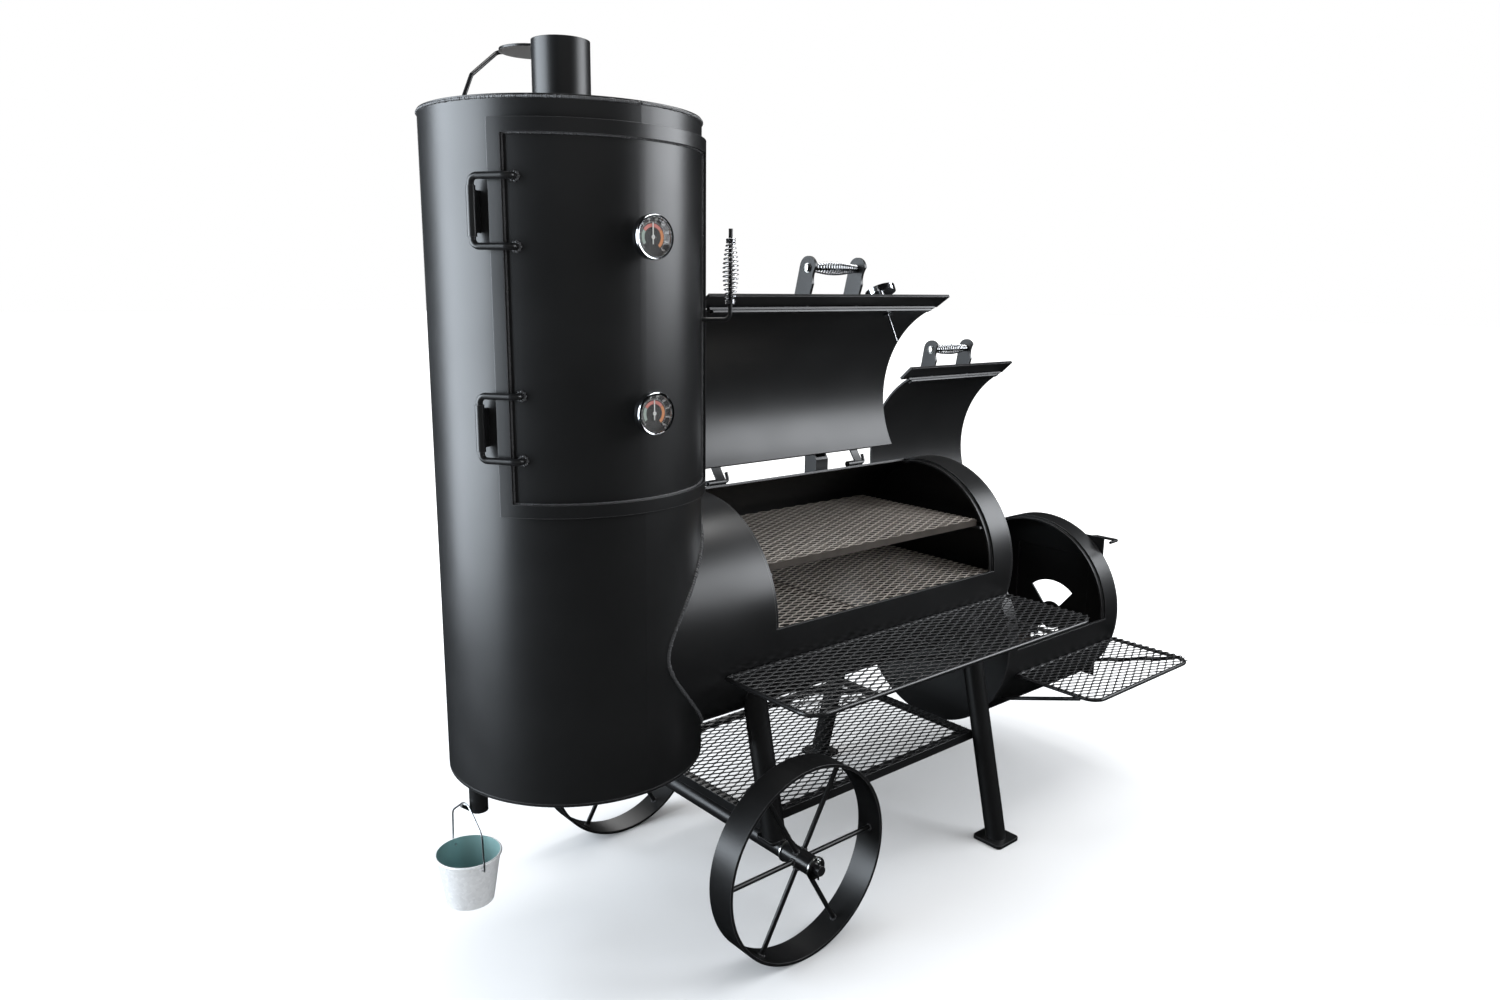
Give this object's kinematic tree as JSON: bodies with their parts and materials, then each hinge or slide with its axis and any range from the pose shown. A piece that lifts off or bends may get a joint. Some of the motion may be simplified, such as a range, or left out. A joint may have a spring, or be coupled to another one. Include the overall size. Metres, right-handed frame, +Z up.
{
  "type": "offset smoker",
  "caption": "Offset smoker: upright cabinet with a curved door, barrel with a back-swinging lid, lower firebox, spoked wheels, mesh shelves and a drip bucket.",
  "frame": {"origin": "on the ground under the middle of the whole object", "axes": "+X along the barrel from the upright cabinet to the firebox, -Y the front, +Z up"},
  "size_m": [2.3826, 1.07, 2.1605],
  "materials": {
    "paint": "satin",
    "bare_steel": "brushed",
    "chrome": "polished",
    "galvanized": "satin",
    "dial": "gloss"
  },
  "bodies": {
    "smoker": {"vertical_shell": "paint", "vertical_end_plates": "paint", "chimney": "paint", "damper_pivot_sleeve": "paint", "door_hinge_sleeves": "paint", "grate_rails": "paint", "cabinet_grates": "bare_steel", "drain_pipe": "paint", "bucket_hook": "paint", "barrel_shell": "paint", "throat_plates": "paint", "barrel_trim": "paint", "lid_hinge_sleeves": "paint", "lid_hinge_pins": "paint", "lid_stops": "paint", "lower_grates": "bare_steel", "firebox_shell": "paint", "firebox_end_plate": "paint", "firebox_trim": "paint", "fire_grate": "bare_steel", "end_door_hinges": "paint", "legs": "paint", "foot_plates": "paint", "axle_sleeve": "paint", "axle": "bare_steel", "axle_washers_and_pins": "bare_steel", "bottom_shelf_frame": "paint", "bottom_shelf_mesh": "paint", "shelf_frames": "paint", "shelf_meshes": "paint"},
    "door": {"door_plate": "paint", "door_flange": "paint", "door_hinge_bars": "paint", "door_dials": "chrome"},
    "upper_needle": {"upper_dial_needle": "dial"},
    "lower_needle": {"lower_dial_needle": "dial"},
    "latch": {"latch_rod": "paint", "latch_spring": "chrome"},
    "main_lid": {"main_lid_shell": "paint", "main_lid_skirt": "paint", "main_lid_straps": "paint", "main_lid_handle": "paint", "main_lid_spring": "chrome", "lid_dial": "chrome"},
    "lid_needle": {"lid_dial_needle": "dial"},
    "firebox_lid": {"firebox_lid_shell": "paint", "firebox_lid_skirt": "paint", "firebox_lid_straps": "paint", "firebox_lid_handle": "paint", "firebox_lid_spring": "chrome"},
    "stack_damper": {"damper": "paint"},
    "end_door": {"end_door": "paint"},
    "vent": {"vent_wheel": "paint"},
    "front_wheel": {"front_wheel_rim": "paint", "front_wheel_hub": "paint"},
    "rear_wheel": {"rear_wheel_rim": "paint", "rear_wheel_hub": "paint"},
    "sliding_grate": {"upper_grate": "bare_steel"},
    "bail": {"bail": "galvanized"},
    "bucket": {"bucket": "galvanized"}
  },
  "joints": [
    {"name": "door_hinge", "type": "hinge", "parent": "smoker", "child": "door", "pos_m": [-1.10244, -0.08977, 1.56], "axis": [0, 0, -1], "range_deg": [0, 110]},
    {"name": "latch_turn", "type": "hinge", "parent": "door", "child": "latch", "pos_m": [-0.5226, -0.17685, 1.562], "axis": [0.7749, -0.632, 0], "range_deg": [0, 90]},
    {"name": "upper_needle_turn", "type": "hinge", "parent": "door", "child": "upper_needle", "pos_m": [-0.80933, -0.283, 1.731], "axis": [0, -1, 0], "range_deg": [-135, 135]},
    {"name": "lower_needle_turn", "type": "hinge", "parent": "door", "child": "lower_needle", "pos_m": [-0.80933, -0.283, 1.378], "axis": [0, -1, 0], "range_deg": [-135, 135]},
    {"name": "main_lid_hinge", "type": "hinge", "parent": "smoker", "child": "main_lid", "pos_m": [0.01067, 0.16738, 1.10554], "axis": [-1, 0, 0], "range_deg": [-109, 0]},
    {"name": "lid_needle_turn", "type": "hinge", "parent": "main_lid", "child": "lid_needle", "pos_m": [0.26567, 0.0914, 1.62435], "axis": [0, 0.4462, 0.8949], "range_deg": [-135, 135]},
    {"name": "firebox_lid_hinge", "type": "hinge", "parent": "smoker", "child": "firebox_lid", "pos_m": [0.82567, 0.24307, 0.7963], "axis": [-1, 0, 0], "range_deg": [-117, 0]},
    {"name": "damper_swing", "type": "hinge", "parent": "smoker", "child": "stack_damper", "pos_m": [-0.80433, 0.131, 2.12], "axis": [0, 0, 1], "range_deg": [0, 180]},
    {"name": "end_door_hinge", "type": "hinge", "parent": "smoker", "child": "end_door", "pos_m": [1.16252, 0.221, 0.52], "axis": [0, 0, 1], "range_deg": [0, 110]},
    {"name": "vent_turn", "type": "hinge", "parent": "end_door", "child": "vent", "pos_m": [1.15667, 0.017, 0.476], "axis": [1, 0, 0], "range_deg": [0, 90]},
    {"name": "front_wheel_turn", "type": "hinge", "parent": "smoker", "child": "front_wheel", "pos_m": [-0.42533, -0.345, 0.254], "axis": [0, 1, 0], "continuous": true},
    {"name": "rear_wheel_turn", "type": "hinge", "parent": "smoker", "child": "rear_wheel", "pos_m": [-0.42533, 0.459, 0.254], "axis": [0, 1, 0], "continuous": true},
    {"name": "grate_slide", "type": "slide", "parent": "smoker", "child": "sliding_grate", "axis": [0, -1, 0], "range_m": [0, 0.18]},
    {"name": "bail_swing", "type": "hinge", "parent": "smoker", "child": "bail", "pos_m": [-1.11533, 0.037, 0.47272], "axis": [0, 1, 0], "range_deg": [-15, 15]},
    {"name": "bucket_swing", "type": "hinge", "parent": "bail", "child": "bucket", "pos_m": [-1.11533, 0.037, 0.342], "axis": [0, 1, 0], "range_deg": [-15, 15]}
  ]
}
